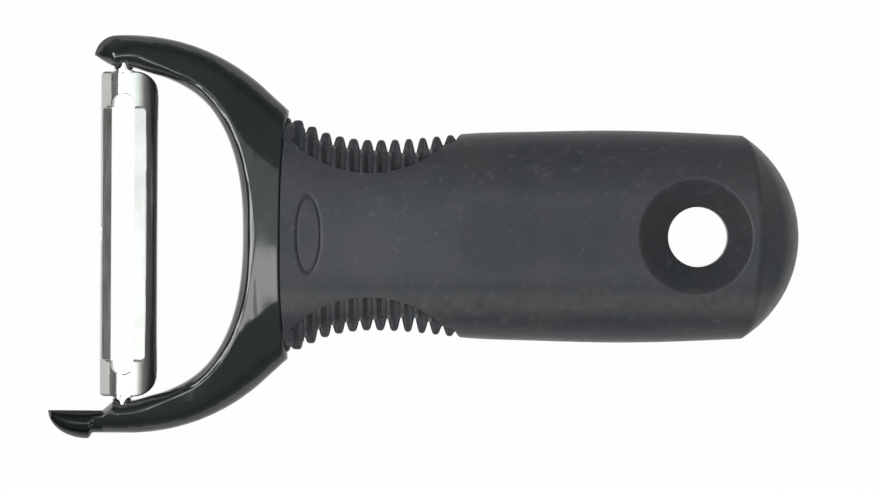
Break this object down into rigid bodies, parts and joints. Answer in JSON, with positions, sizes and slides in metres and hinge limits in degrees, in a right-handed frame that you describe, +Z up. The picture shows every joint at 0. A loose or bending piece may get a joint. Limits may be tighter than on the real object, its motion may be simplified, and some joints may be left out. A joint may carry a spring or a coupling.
{
  "type": "vegetable peeler",
  "caption": "Y-shaped vegetable peeler with a swivelling slotted blade, a potato-eye scoop and a fat finned rubber handle.",
  "frame": {"origin": "middle of the peeler's length and width, on the table that its handle's belly rests on", "axes": "+X along the handle towards its butt, +Y across towards the arm without the scoop, +Z up, out of the front face with the scoop's dish"},
  "size_m": [0.1498, 0.0802, 0.021],
  "materials": {
    "yoke_plastic": "polished",
    "blade_steel": "polished stainless",
    "grip_rubber": "matt"
  },
  "bodies": {
    "frame": {"yoke_frame": "yoke_plastic", "grip": "grip_rubber"},
    "blade": {"swivel_blade": "blade_steel"}
  },
  "joints": [
    {"name": "blade_swivel", "type": "hinge", "parent": "frame", "child": "blade", "pos_m": [-0.0602, 0, 0.0105], "axis": [0, 1, 0], "range_deg": [-35, 35]}
  ]
}
